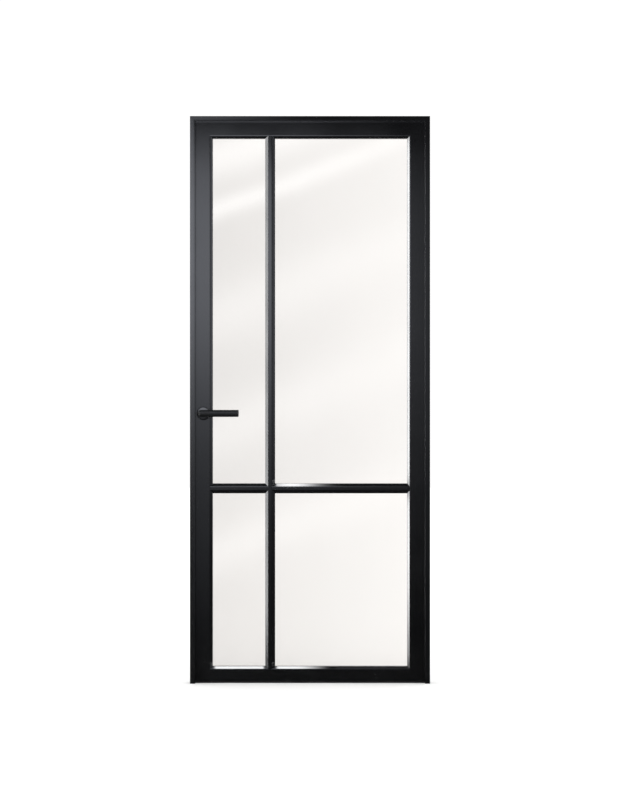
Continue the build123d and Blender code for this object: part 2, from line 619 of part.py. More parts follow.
with BuildPart() as jamb_hinge_side:
    with BuildSketch(Plane.XY) as section:
        outline(jamb_outline(1))
        offset(amount=-WALL, kind=Kind.INTERSECTION, mode=Mode.SUBTRACT)
        with Locations((SEAL_X, STOP_Y - 1)):
            Rectangle(3.0, 4.0, mode=Mode.SUBTRACT)
        round_at(section, [(FRAME_X, FRAME_Y0 + FRAME_SLOPE_D), (FRAME_X, FRAME_Y1), (FRAME_X - WEB, FRAME_Y1)], EDGE_ROUND)
        round_at(section, [(FRAME_X - WEB - STOP, FRAME_Y0)], INNER_ROUND)
    extrude(amount=FRAME_H)
    cut_xz(jamb_mitre(1))
    for z in WALL_FIX_Z:
        block(FRAME_X - WEB + 1, FRAME_X - 1, -15, 15, z - 20, z + 20)
    with Locations(*[FACE_FRAME_HINGE * Location((0, z, 0)) for z in WALL_FIX_Z]):
        CounterSinkHole(radius=WALL_FIX_R, counter_sink_radius=WALL_FIX_CSK, depth=WEB + 1, counter_sink_angle=90)
    for zc in HINGE_Z:
        block(FRAME_X - WEB + 1, FRAME_X - 1, -15, 19, zc - 55, zc + 55)
        with BuildSketch(FACE_FRAME_HINGE.offset(-PLATE_T)) as recess:
            with Locations((-(PLATE_Y0 - 0.15 + 30) / 2, zc)):
                Rectangle(30 - PLATE_Y0 + 0.15, HINGE_H + 0.3)
            fillet(recess.vertices().group_by(Axis.X)[-1], 6.15)
        extrude(amount=PLATE_T + 1, mode=Mode.SUBTRACT)
        with BuildSketch(FACE_FRAME_HINGE):
            with Locations(*[(-y, zc + z) for y, z in HINGE_SCREWS]):
                Circle(2.55)
        extrude(amount=-7.6, mode=Mode.SUBTRACT)
    with Locations(*[FACE_FRAME_HINGE * Location((0, z, 0)) for z in (2078.0, 2104.0)]):
        CounterSinkHole(radius=2.05, counter_sink_radius=3.7, depth=3, counter_sink_angle=90)
jamb_hinge_side.part.label = "jamb_hinge_side"
export_step(jamb_hinge_side.part, "parts/jamb_hinge_side.step")

HEAD_UNDER = FRAME_H - WEB
HEAD_PLANE = Plane(origin=(0, 0, HEAD_UNDER), x_dir=(1, 0, 0), z_dir=(0, 0, -1))
HEAD_SCREW_X = (-419.0, -397.0, 397.0, 419.0)
with BuildPart() as frame_head:
    with BuildSketch(Plane.YZ.offset(-FRAME_X)) as section:
        outline([
            (FRAME_Y0 + FRAME_SLOPE_D, FRAME_H), (FRAME_Y0, FRAME_H - FRAME_SLOPE_W), (FRAME_Y0, HEAD_UNDER - STOP), (STOP_Y, HEAD_UNDER - STOP),
            (STOP_Y, HEAD_UNDER), (FRAME_Y1, HEAD_UNDER), (FRAME_Y1, FRAME_H),
        ])
        offset(amount=-WALL, kind=Kind.INTERSECTION, mode=Mode.SUBTRACT)
        with Locations((STOP_Y - 1, SEAL_Z)):
            Rectangle(4.0, 3.0, mode=Mode.SUBTRACT)
        round_at(section, [(FRAME_Y0 + FRAME_SLOPE_D, FRAME_H), (FRAME_Y1, HEAD_UNDER), (FRAME_Y1, FRAME_H)], EDGE_ROUND)
        round_at(section, [(FRAME_Y0, HEAD_UNDER - STOP)], INNER_ROUND)
    extrude(amount=2 * FRAME_X)
    for side in (-1, 1):
        cut_xz([
            (side * (FRAME_X + 1), FRAME_H + 1),
            (side * (FRAME_X - 21), FRAME_H - 21),
            (side * (FRAME_X + 1), FRAME_H - 21),
        ])
    with Locations(*[HEAD_PLANE * Location((x, 0, 0)) for x in HEAD_SCREW_X]):
        CounterSinkHole(radius=2.05, counter_sink_radius=3.7, depth=3, counter_sink_angle=90)
frame_head.part.label = "frame_head"
export_step(frame_head.part, "parts/frame_head.step")

# L-shaped cleats in the hollow web, across each mitre.
with BuildPart() as frame_corner_cleats:
    for side in (-1, 1):
        a = FRAME_X - WALL - 0.2
        top = FRAME_H - WALL - 0.2
        with BuildSketch(Plane.XZ):
            outline([
                (side * a, 2056), (side * a, top), (side * (a - 72), top),
                (side * (a - 72), top - CLEAT_T), (side * (a - CLEAT_T), top - CLEAT_T), (side * (a - CLEAT_T), 2056),
            ])
        extrude(amount=14, both=True)
    for plane, places in (
        (FACE_FRAME_LOCK, ((0, 2078.0), (0, 2104.0))),
        (FACE_FRAME_HINGE, ((0, 2078.0), (0, 2104.0))),
        (HEAD_PLANE, tuple((x, 0) for x in HEAD_SCREW_X)),
    ):
        with BuildSketch(plane):
            with Locations(*places):
                Circle(2.05)
        extrude(amount=-7, mode=Mode.SUBTRACT)
frame_corner_cleats.part.label = "frame_corner_cleats"
export_step(frame_corner_cleats.part, "parts/frame_corner_cleats.step")

frame_cleat_screws = countersunk(
    [
        (FACE_FRAME_LOCK, ((0, 2078.0), (0, 2104.0))),
        (FACE_FRAME_HINGE, ((0, 2078.0), (0, 2104.0))),
        (HEAD_PLANE, tuple((x, 0) for x in HEAD_SCREW_X)),
    ],
    head_r=3.6, shank_r=2.0, length=5.4, socket_r=1.4,
)
frame_cleat_screws.part.label = "frame_cleat_screws"
export_step(frame_cleat_screws.part, "parts/frame_cleat_screws.step")


def seal_outline(middle):
    """Stop seal across its length and in depth: a bulb, a neck in the slot, and a foot behind it."""
    h, s = SEAL_W / 2, STOP_Y
    return [
        (middle - h, s), (middle - h, s + SEAL_H), (middle + h, s + SEAL_H), (middle + h, s),
        (middle + 1.4, s), (middle + 1.4, s - 2.1), (middle + 2.7, s - 2.1), (middle + 1.4, s - 3.6),
        (middle - 1.4, s - 3.6), (middle - 2.7, s - 2.1), (middle - 1.4, s - 2.1), (middle - 1.4, s),
    ]


for side, name in ((-1, "stop_seal_lock_side"), (1, "stop_seal_hinge_side")):
    with BuildPart() as seal:
        with BuildSketch(Plane.XY) as section:
            outline(seal_outline(side * SEAL_X))
            round_at(section, [(side * SEAL_X - SEAL_W / 2, STOP_Y + SEAL_H), (side * SEAL_X + SEAL_W / 2, STOP_Y + SEAL_H)], 1.3)
            with Locations((side * SEAL_X, STOP_Y + 1.4)):
                SlotOverall(5.6, 1.3, mode=Mode.SUBTRACT)
        extrude(amount=FRAME_H)
        cut_xz([(x, z - 0.1) for x, z in jamb_mitre(side)])
    seal.part.label = name
    export_step(seal.part, "parts/" + name + ".step")

with BuildPart() as stop_seal_head:
    with BuildSketch(Plane.YZ.offset(-FRAME_X)) as section:
        outline(turned(seal_outline(SEAL_Z)))
        round_at(section, [(STOP_Y + SEAL_H, SEAL_Z - SEAL_W / 2), (STOP_Y + SEAL_H, SEAL_Z + SEAL_W / 2)], 1.3)
        with Locations((STOP_Y + 1.4, SEAL_Z)):
            SlotOverall(5.6, 1.3, rotation=90, mode=Mode.SUBTRACT)
    extrude(amount=2 * FRAME_X)
    for side in (-1, 1):
        cut_xz([
            (side * (FRAME_X + 1), FRAME_H + 1.1),
            (side * (FRAME_X - 21), FRAME_H - 20.9),
            (side * (FRAME_X + 1), FRAME_H - 20.9),
        ])
stop_seal_head.part.label = "stop_seal_head"
export_step(stop_seal_head.part, "parts/stop_seal_head.step")

# =============================================================== hinges
PITCH = HINGE_H / KNUCKLES


def hinge_leaf(plate_x, zc, knuckles):
    """Plate of a butt hinge in the plane of the gap, with the knuckles of the given numbers counted from below."""
    with BuildPart() as leaf:
        with BuildSketch(Plane.YZ.offset(plate_x)) as plate:
            with Locations(((PLATE_Y0 + T2 + 0.2) / 2, zc)):
                Rectangle(T2 + 0.2 - PLATE_Y0, HINGE_H)
            fillet(plate.vertices().group_by(Axis.X)[0], 6)
        extrude(amount=PLATE_T)
        for n in knuckles:
            with BuildSketch(Plane.XY.offset(zc - HINGE_H / 2 + n * PITCH + (KNUCKLE_GAP / 2 if n else 0))):
                with Locations((plate_x + PLATE_T / 2, (19 + PIN_Y) / 2)):
                    Rectangle(PLATE_T, PIN_Y - 19)
                with Locations((PIN_X, PIN_Y)):
                    Circle(KNUCKLE_R)
                with Locations((PIN_X, PIN_Y)):
                    Circle(PIN_BORE, mode=Mode.SUBTRACT)
            extrude(amount=PITCH - (KNUCKLE_GAP if 0 < n < KNUCKLES - 1 else KNUCKLE_GAP / 2))
        if plate_x < PIN_X:
            face, turn = FACE_LEAF_HINGE, 1
        else:
            face, turn = FACE_FRAME_HINGE, -1
        with Locations(*[face * Location((turn * y, zc + z, 0)) for y, z in HINGE_SCREWS]):
            CounterSinkHole(radius=2.6, counter_sink_radius=4.6, depth=PLATE_T + 1, counter_sink_angle=90)
    return leaf


for place, zc in zip(("bottom", "middle", "top"), HINGE_Z):
    frame_leaf = hinge_leaf(EDGE + GAP, zc, (0, 2, 4))
    frame_leaf.part.label = "hinge_" + place + "_frame_leaf"
    export_step(frame_leaf.part, "parts/hinge_" + place + "_frame_leaf.step")
    door_leaf = hinge_leaf(EDGE - PLATE_T, zc, (1, 3))
    door_leaf.part.label = "hinge_" + place + "_door_leaf"
    export_step(door_leaf.part, "parts/hinge_" + place + "_door_leaf.step")

# The pins stay with the frame and carry a flat button at each end.
with BuildPart() as hinge_pins:
    for zc in HINGE_Z:
        with BuildSketch(Plane.XY.offset(zc - HINGE_H / 2 - 3)):
            with Locations((PIN_X, PIN_Y)):
                Circle(PIN_R)
        extrude(amount=HINGE_H + 6)
        with BuildSketch(Plane.XY.offset(zc - HINGE_H / 2 - 3)):
            with Locations((PIN_X, PIN_Y)):
                Circle(5.6)
        extrude(amount=3)
        with BuildSketch(Plane.XY.offset(zc + HINGE_H / 2)):
            with Locations((PIN_X, PIN_Y)):
                Circle(5.6)
        extrude(amount=3)
    fillet(
        hinge_pins.edges().filter_by(GeomType.CIRCLE).filter_by(
            lambda e: abs(e.radius - 5.6) < 1e-6
            and any(
                abs(abs(e.arc_center.Z - zc) - HINGE_H / 2 - 3) < 1e-6 for zc in HINGE_Z
            )
        ),
        1.2,
    )
hinge_pins.part.label = "hinge_pins"
export_step(hinge_pins.part, "parts/hinge_pins.step")

frame_hardware_screws = countersunk(
    [
        (FACE_FRAME_HINGE, tuple((-y, zc + z) for zc in HINGE_Z for y, z in HINGE_SCREWS)),
        (FACE_FRAME_LOCK, ((0, LATCH_Z - 26), (0, LATCH_Z + 26))),
    ],
    head_r=4.5, shank_r=2.5, length=7.3, socket_r=1.7,
)
frame_hardware_screws.part.label = "frame_hardware_screws"
export_step(frame_hardware_screws.part, "parts/frame_hardware_screws.step")

leaf_hardware_screws = countersunk(
    [
        (FACE_LEAF_HINGE, tuple((y, zc + z) for zc in HINGE_Z for y, z in HINGE_SCREWS)),
        (FACE_LEAF_LOCK, ((0, PLATE_C - 72), (0, PLATE_C + 72))),
    ],
    head_r=4.5, shank_r=2.5, length=7.3, socket_r=1.7,
)
leaf_hardware_screws.part.label = "leaf_hardware_screws"
export_step(leaf_hardware_screws.part, "parts/leaf_hardware_screws.step")

# =============================================================== strike
with BuildPart() as strike_plate:
    with BuildSketch(FACE_FRAME_LOCK.offset(-STRIKE_T)) as plate:
        with Locations(((-12 + T2) / 2, LATCH_Z)):
            Rectangle(T2 + 12, STRIKE_H)
        fillet(plate.vertices().group_by(Axis.X)[0], 4)
        with Locations((0, LATCH_Z)):
            RectangleRounded(2 * 6.2, 2 * 8.8, 1.5, mode=Mode.SUBTRACT)
    extrude(amount=STRIKE_T)
    # the edge that the latch meets first is rounded off
    fillet(strike_plate.edges().filter_by(Axis.Z).group_by(Axis.Y)[-1].sort_by(Axis.X)[-1], 1.2)
    with Locations(*[FACE_FRAME_LOCK * Location((0, z, 0)) for z in (LATCH_Z - 26, LATCH_Z + 26)]):
        CounterSinkHole(radius=2.6, counter_sink_radius=4.6, depth=STRIKE_T + 1, counter_sink_angle=90)
strike_plate.part.label = "strike_plate"
export_step(strike_plate.part, "parts/strike_plate.step")

with BuildPart() as strike_box:
    block(-FRAME_X, -FRAME_X + WEB - STRIKE_T, -7.4, 7.4, LATCH_Z - 10.9, LATCH_Z + 10.9)
    block(-FRAME_X + 1, -FRAME_X + WEB, -6.4, 6.4, LATCH_Z - 9.9, LATCH_Z + 9.9, mode=Mode.SUBTRACT)
strike_box.part.label = "strike_box"
export_step(strike_box.part, "parts/strike_box.step")

# =============================================================== lock
BOLTS = ((HANDLE_X, HANDLE_Z - BOLT_PITCH / 2), (HANDLE_X, HANDLE_Z + BOLT_PITCH / 2))
POST_X = -405.0           # rear guide of the latch's rod, which the latch spring bears on
STOP_POST_X = -426.0      # post of the follower's return spring
ROD_R = 2.0
SPRING_Z = HANDLE_Z - 11.5

with BuildPart() as lock_case:
    block(CASE_X0, CASE_X1, -CASE_Y + SHEET, CASE_Y, CASE_Z0, CASE_Z1)
    block(CASE_X0 + SHEET, CASE_X1 - 1.2, -CASE_Y, CASE_Y - SHEET, CASE_Z0 + SHEET, CASE_Z1 - SHEET, mode=Mode.SUBTRACT)
    # mouth for the latch
    block(CASE_X0 - 1, CASE_X0 + SHEET + 1, -5.4, 5.4, LATCH_Z - LATCH_H / 2 - 0.2, LATCH_Z + LATCH_H / 2 + 0.2, mode=Mode.SUBTRACT)
    block(POST_X, POST_X + SHEET, -CASE_Y + SHEET, CASE_Y - SHEET, LATCH_Z - 4.5, CASE_Z1 - SHEET)
    block(STOP_POST_X - SHEET, STOP_POST_X, -CASE_Y + SHEET, CASE_Y - SHEET, SPRING_Z - 6, SPRING_Z + 6)
    # three bushes that the cover's rivets close on
    with BuildSketch(Plane.XZ.offset(-CASE_Y)):
        with Locations((CASE_X0 + 8, CASE_Z0 + 8), (CASE_X1 - 8, CASE_Z0 + 8), (CASE_X1 - 8, CASE_Z1 - 8)):
            Circle(3.5)
    extrude(amount=2 * CASE_Y - SHEET)
    with BuildSketch(Plane.YZ.offset(POST_X - 1)):
        with Locations((0, LATCH_Z)):
            Circle(ROD_R + 0.1)
    extrude(amount=SHEET + 2, mode=Mode.SUBTRACT)
    with BuildSketch(Plane.XZ.offset(-CASE_Y - 1)):
        with Locations((HANDLE_X, HANDLE_Z)):
            Circle(7.08)
        with Locations(*BOLTS):
            Circle(2.3)
    extrude(amount=SHEET + 2, mode=Mode.SUBTRACT)
lock_case.part.label = "lock_case"
export_step(lock_case.part, "parts/lock_case.step")

with BuildPart() as lock_cover:
    block(CASE_X0, CASE_X1, -CASE_Y, -CASE_Y + SHEET, CASE_Z0, CASE_Z1)
    with BuildSketch(Plane.XZ):
        with Locations((HANDLE_X, HANDLE_Z)):
            Circle(7.08)
        with Locations(*BOLTS):
            Circle(2.3)
    extrude(amount=20, mode=Mode.SUBTRACT)
    # heads of the three closing rivets, formed on the sheet
    with BuildSketch(Plane.XZ.offset(CASE_Y)):
        with Locations((CASE_X0 + 8, CASE_Z0 + 8), (CASE_X1 - 8, CASE_Z0 + 8), (CASE_X1 - 8, CASE_Z1 - 8)):
            Circle(2.6)
    extrude(amount=0.7)
lock_cover.part.label = "lock_cover"
export_step(lock_cover.part, "parts/lock_cover.step")

with BuildPart() as lock_faceplate:
    with BuildSketch(FACE_LEAF_LOCK.offset(-FACE_T)):
        with Locations((0, PLATE_C)):
            SlotCenterToCenter(PLATE_H - PLATE_W, PLATE_W, rotation=90)
        with Locations((0, LATCH_Z)):
            Rectangle(LATCH_W + 0.3, LATCH_H + 0.3, mode=Mode.SUBTRACT)
    extrude(amount=FACE_T)
    with Locations(*[FACE_LEAF_LOCK * Location((0, z, 0)) for z in (PLATE_C - 72, PLATE_C + 72)]):
        CounterSinkHole(radius=2.6, counter_sink_radius=4.6, depth=FACE_T + 1, counter_sink_angle=90)
lock_faceplate.part.label = "lock_faceplate"
export_step(lock_faceplate.part, "parts/lock_faceplate.step")

# The follower turns in the case. Its upper arm draws the latch and its lower arm loads the return spring.
ARM = 15.2
ARM_W = 3.0
with BuildPart() as follower:
    with BuildSketch(Plane.XZ.offset(-5.2)):
        with Locations((HANDLE_X, HANDLE_Z)):
            Circle(8)
    extrude(amount=10.4)
    block(HANDLE_X - ARM_W, HANDLE_X + ARM_W, -4.5, 4.5, HANDLE_Z - ARM, HANDLE_Z + ARM)
    with BuildSketch(Plane.XZ.offset(-CASE_Y)):
        with Locations((HANDLE_X, HANDLE_Z)):
            Circle(7)
    extrude(amount=2 * CASE_Y)
    fillet(
        follower.edges().filter_by(Axis.Y).filter_by(
            lambda e: abs(e.center().Z - HANDLE_Z) > ARM - 0.1
        ),
        1.0,
    )
    block(HANDLE_X - 4.06, HANDLE_X + 4.06, -10, 10, HANDLE_Z - 4.06, HANDLE_Z + 4.06, mode=Mode.SUBTRACT)
follower.part.label = "follower"
export_step(follower.part, "parts/follower.step")

# The latch: a head bevelled on the closing side, a rod, and a catch that the follower's arm draws.
HEAD_X0 = -EDGE - LATCH_THROW
HEAD_X1 = -427.0
CATCH_X = HANDLE_X + 4.3
with BuildPart() as latch_bolt:
    h = LATCH_W / 2
    prism_xy(
        [(HEAD_X0, h), (HEAD_X0, h - 2.4), (-EDGE - 1.2, -h), (HEAD_X1, -h), (HEAD_X1, h)],
        LATCH_Z - LATCH_H / 2,
        LATCH_Z + LATCH_H / 2,
    )
    fillet(latch_bolt.edges().filter_by(Axis.Z).group_by(Axis.X)[0], 0.8)
    with BuildSketch(Plane.YZ.offset(HEAD_X1 - 1)):
        with Locations((0, LATCH_Z)):
            Circle(ROD_R)
    extrude(amount=CATCH_X - HEAD_X1 + 2)
    block(CATCH_X, CATCH_X + 2, -4.0, 4.0, HANDLE_Z + 8.4, LATCH_Z + 3.5)
latch_bolt.part.label = "latch_bolt"
export_step(latch_bolt.part, "parts/latch_bolt.step")


def spring(x0, x1, z, mean_r, wire_r, turns):
    """Open-wound compression spring along X."""
    with BuildPart() as coil:
        length = x1 - x0 - 2 * wire_r
        with BuildLine() as path:
            Helix(pitch=length / turns, height=length, radius=mean_r, center=(x0 + wire_r, 0, z), direction=(1, 0, 0))
        with BuildSketch(Plane(origin=path.line @ 0, z_dir=path.line % 0)):
            Circle(wire_r)
        sweep(is_frenet=True)
    return coil


latch_spring = spring(HEAD_X1 + 0.3, POST_X - 0.3, LATCH_Z, 3.1, 0.4, 9)
latch_spring.part.label = "latch_spring"
export_step(latch_spring.part, "parts/latch_spring.step")

return_spring = spring(STOP_POST_X + 0.3, HANDLE_X - ARM_W - 0.3, SPRING_Z, 3.0, 0.5, 7)
return_spring.part.label = "return_spring"
export_step(return_spring.part, "parts/return_spring.step")

# =============================================================== handle
with BuildPart() as spindle:
    block(HANDLE_X - SQUARE / 2, HANDLE_X + SQUARE / 2, -49, 49, HANDLE_Z - SQUARE / 2, HANDLE_Z + SQUARE / 2)
    chamfer(spindle.faces().sort_by(Axis.Y)[0].edges() + spindle.faces().sort_by(Axis.Y)[-1].edges(), 0.8)
spindle.part.label = "spindle"
export_step(spindle.part, "parts/spindle.step")

# round neck, oval grip with a blunt end, rounded off where it runs past the neck
GRIP_X = HANDLE_X - GRIP_BACK
GRIP_PLANE = Plane(origin=(GRIP_X, -LEVER_Y, HANDLE_Z), x_dir=(0, 1, 0), z_dir=(1, 0, 0))
with BuildPart() as lever_front:
    with BuildSketch(GRIP_PLANE):
        Ellipse(GRIP_D / 2, GRIP_H / 2)
    extrude(amount=LEVER_TIP - GRIP_X)
    fillet(lever_front.faces().sort_by(Axis.X)[-1].edges(), 2.0)
    # half an oblate ball closes the grip
    with BuildSketch(GRIP_PLANE):
        Ellipse(GRIP_D / 2, GRIP_H / 2)
        with Locations((0, -GRIP_H / 2)):
            Rectangle(GRIP_D + 2, GRIP_H, mode=Mode.SUBTRACT)
    revolve(axis=Axis((GRIP_X, -LEVER_Y, HANDLE_Z), (0, -1, 0)), revolution_arc=180)
    with BuildSketch(Plane(origin=(HANDLE_X, -T2 - 0.5, HANDLE_Z), z_dir=(0, -1, 0))):
        Circle(LEVER_R)
    extrude(amount=LEVER_Y - T2 - 0.5)
    block(HANDLE_X - 4.06, HANDLE_X + 4.06, -50, -T2 - 0.4, HANDLE_Z - 4.06, HANDLE_Z + 4.06, mode=Mode.SUBTRACT)
    # tapped hole of the grub screw, from below
    with BuildSketch(Plane.XY.offset(HANDLE_Z - 12)):
        with Locations((HANDLE_X, -39)):
            Circle(2.5)
    extrude(amount=10, mode=Mode.SUBTRACT)
lever_front.part.label = "lever_front"
export_step(lever_front.part, "parts/lever_front.step")

with BuildPart() as lever_back:
    add(lever_front.part.mirror(Plane.XZ))
lever_back.part.label = "lever_back"
export_step(lever_back.part, "parts/lever_back.step")

with BuildPart() as lever_grub_screws:
    for side in (-1, 1):
        with BuildSketch(Plane.XY.offset(HANDLE_Z - SQUARE / 2 - 5.2)):
            with Locations((HANDLE_X, side * 39)):
                Circle(2.45)
        extrude(amount=5.1)
        with BuildSketch(Plane.XY.offset(HANDLE_Z - SQUARE / 2 - 5.2)):
            with Locations((HANDLE_X, side * 39)):
                RegularPolygon(radius=1.4, side_count=6)
        extrude(amount=2.5, mode=Mode.SUBTRACT)
lever_grub_screws.part.label = "lever_grub_screws"
export_step(lever_grub_screws.part, "parts/lever_grub_screws.step")

for side, place in ((-1, "front"), (1, "back")):
    with BuildPart() as base:
        with BuildSketch(Plane.XZ.offset(-side * T2)):
            with Locations((HANDLE_X, HANDLE_Z)):
                Circle(BASE_R)
                Circle(LEVER_R + 0.1, mode=Mode.SUBTRACT)
        extrude(amount=-side * BASE_T)
        with BuildSketch(Plane.XZ.offset(-side * (T2 - 1))):
            with Locations(*BOLTS):
                Circle(2.2 if side < 0 else 2.05)
        extrude(amount=-side * (BASE_T + 2 if side < 0 else 6.3), mode=Mode.SUBTRACT)
        if side < 0:
            with BuildSketch(Plane.XZ.offset(T2 + BASE_T)):
                with Locations(*BOLTS):
                    Circle(3.6)
            extrude(amount=-2.4, mode=Mode.SUBTRACT)
    base.part.label = "rosette_base_" + place
    export_step(base.part, "parts/rosette_base_" + place + ".step")

    # spun cover that clips over the base
    with BuildPart() as cover:
        with BuildSketch(Plane.XZ.offset(-side * T2)):
            with Locations((HANDLE_X, HANDLE_Z)):
                Circle(ROSETTE_R)
        extrude(amount=-side * ROSETTE_T)
        outer = cover.edges().filter_by(GeomType.CIRCLE).sort_by(Axis.Y)[0 if side < 0 else -1]
        fillet(outer, 3.2)
        with BuildSketch(Plane.XZ.offset(-side * T2)):
            with Locations((HANDLE_X, HANDLE_Z)):
                Circle(ROSETTE_R - 1.5)
        extrude(amount=-side * (ROSETTE_T - 1.8), mode=Mode.SUBTRACT)
        with BuildSketch(Plane.XZ.offset(-side * T2)):
            with Locations((HANDLE_X, HANDLE_Z)):
                Circle(LEVER_R + 0.1)
        extrude(amount=-side * 12, mode=Mode.SUBTRACT)
    cover.part.label = "rosette_" + place
    export_step(cover.part, "parts/rosette_" + place + ".step")

with BuildPart() as rosette_bolts:
    with BuildSketch(Plane.XZ.offset(T2 + BASE_T - 2.4)):
        with Locations(*BOLTS):
            Circle(3.5)
    extrude(amount=2.2)
    with BuildSketch(Plane.XZ.offset(T2 + BASE_T - 2.4)):
        with Locations(*BOLTS):
            Circle(BOLT_R)
    extrude(amount=-49.0)
    with BuildSketch(Plane.XZ.offset(T2 + BASE_T - 0.2)):
        with Locations(*BOLTS):
            RegularPolygon(radius=1.6, side_count=6)
    extrude(amount=-1.5, mode=Mode.SUBTRACT)
rosette_bolts.part.label = "rosette_bolts"
export_step(rosette_bolts.part, "parts/rosette_bolts.step")
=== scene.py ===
import json
import math

import bmesh
import bpy
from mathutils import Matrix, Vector


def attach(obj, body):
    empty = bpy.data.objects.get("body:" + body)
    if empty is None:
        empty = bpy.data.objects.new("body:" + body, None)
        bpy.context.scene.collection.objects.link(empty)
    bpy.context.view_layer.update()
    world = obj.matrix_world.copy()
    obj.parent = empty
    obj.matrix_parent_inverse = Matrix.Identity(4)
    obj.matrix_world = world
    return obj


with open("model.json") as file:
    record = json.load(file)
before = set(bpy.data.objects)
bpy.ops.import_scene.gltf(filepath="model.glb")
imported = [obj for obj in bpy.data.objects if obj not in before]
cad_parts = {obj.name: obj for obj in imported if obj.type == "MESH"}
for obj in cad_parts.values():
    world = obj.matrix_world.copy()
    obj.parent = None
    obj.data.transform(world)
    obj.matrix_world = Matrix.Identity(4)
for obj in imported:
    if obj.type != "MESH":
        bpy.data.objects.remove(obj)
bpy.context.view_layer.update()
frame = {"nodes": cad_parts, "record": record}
nodes = frame["nodes"]
scene = bpy.context.scene


# ------------------------------------------------------------------ node helpers
class Look:
    """A procedural surface built round one Principled shader. Lengths are metres in the row frame."""

    def __init__(self, name):
        self.mat = bpy.data.materials.new(name)
        self.mat.use_nodes = True
        self.tree = self.mat.node_tree
        self.tree.nodes.clear()
        self.out = self.tree.nodes.new("ShaderNodeOutputMaterial")
        self.bsdf = self.tree.nodes.new("ShaderNodeBsdfPrincipled")
        self.tree.links.new(self.bsdf.outputs["BSDF"], self.out.inputs["Surface"])
        self.place = self.tree.nodes.new("ShaderNodeTexCoord").outputs["Object"]

    def node(self, kind, **settings):
        n = self.tree.nodes.new(kind)
        for key, value in settings.items():
            setattr(n, key, value)
        return n

    def feed(self, socket, value):
        if isinstance(value, bpy.types.NodeSocket):
            self.tree.links.new(value, socket)
        else:
            socket.default_value = value

    def set(self, **values):
        for key, value in values.items():
            self.feed(self.bsdf.inputs[key.replace("_", " ")], value)

    def scaled(self, x, y, z):
        m = self.node("ShaderNodeMapping")
        self.feed(m.inputs["Vector"], self.place)
        m.inputs["Scale"].default_value = (x, y, z)
        return m.outputs["Vector"]

    def axis(self, which):
        s = self.node("ShaderNodeSeparateXYZ")
        self.feed(s.inputs[0], self.place)
        return s.outputs[which]

    def noise(self, scale, detail=2.0, rough=0.5, vector=None, distortion=0.0):
        n = self.node("ShaderNodeTexNoise")
        self.feed(n.inputs["Vector"], vector or self.place)
        n.inputs["Scale"].default_value = scale
        n.inputs["Detail"].default_value = detail
        n.inputs["Roughness"].default_value = rough
        n.inputs["Distortion"].default_value = distortion
        return n.outputs["Fac"]

    def cells(self, scale, feature="F1", vector=None, out="Distance"):
        n = self.node("ShaderNodeTexVoronoi", feature=feature)
        self.feed(n.inputs["Vector"], vector or self.place)
        n.inputs["Scale"].default_value = scale
        return n.outputs[out]

    def math(self, op, a, b=0.0, clamp=False):
        n = self.node("ShaderNodeMath", operation=op, use_clamp=clamp)
        self.feed(n.inputs[0], a)
        self.feed(n.inputs[1], b)
        return n.outputs[0]

    def span(self, value, a0, a1, b0, b1, smooth=False):
        n = self.node("ShaderNodeMapRange", interpolation_type="SMOOTHSTEP" if smooth else "LINEAR")
        self.feed(n.inputs["Value"], value)
        for key, v in (("From Min", a0), ("From Max", a1), ("To Min", b0), ("To Max", b1)):
            n.inputs[key].default_value = v
        return n.outputs["Result"]

    def blend(self, fac, a, b):
        n = self.node("ShaderNodeMix", data_type="RGBA")
        self.feed(n.inputs[0], fac)
        self.feed(n.inputs[6], a if isinstance(a, bpy.types.NodeSocket) else (*a, 1.0))
        self.feed(n.inputs[7], b if isinstance(b, bpy.types.NodeSocket) else (*b, 1.0))
        return n.outputs[2]

    def bump(self, height, distance, strength=1.0, under=None):
        n = self.node("ShaderNodeBump")
        n.inputs["Distance"].default_value = distance
        n.inputs["Strength"].default_value = strength
        self.feed(n.inputs["Height"], height)
        if under is not None:
            self.feed(n.inputs["Normal"], under)
        return n.outputs["Normal"]

    def arris(self, radius):
        """1 along the sharp edges of a piece, 0 on its faces."""
        bevel = self.node("ShaderNodeBevel", samples=6)
        bevel.inputs["Radius"].default_value = radius
        face = self.node("ShaderNodeNewGeometry").outputs["Normal"]
        dot = self.node("ShaderNodeVectorMath", operation="DOT_PRODUCT")
        self.feed(dot.inputs[0], bevel.outputs["Normal"])
        self.feed(dot.inputs[1], face)
        return self.span(dot.outputs["Value"], 0.999, 0.90, 0.0, 1.0, smooth=True)


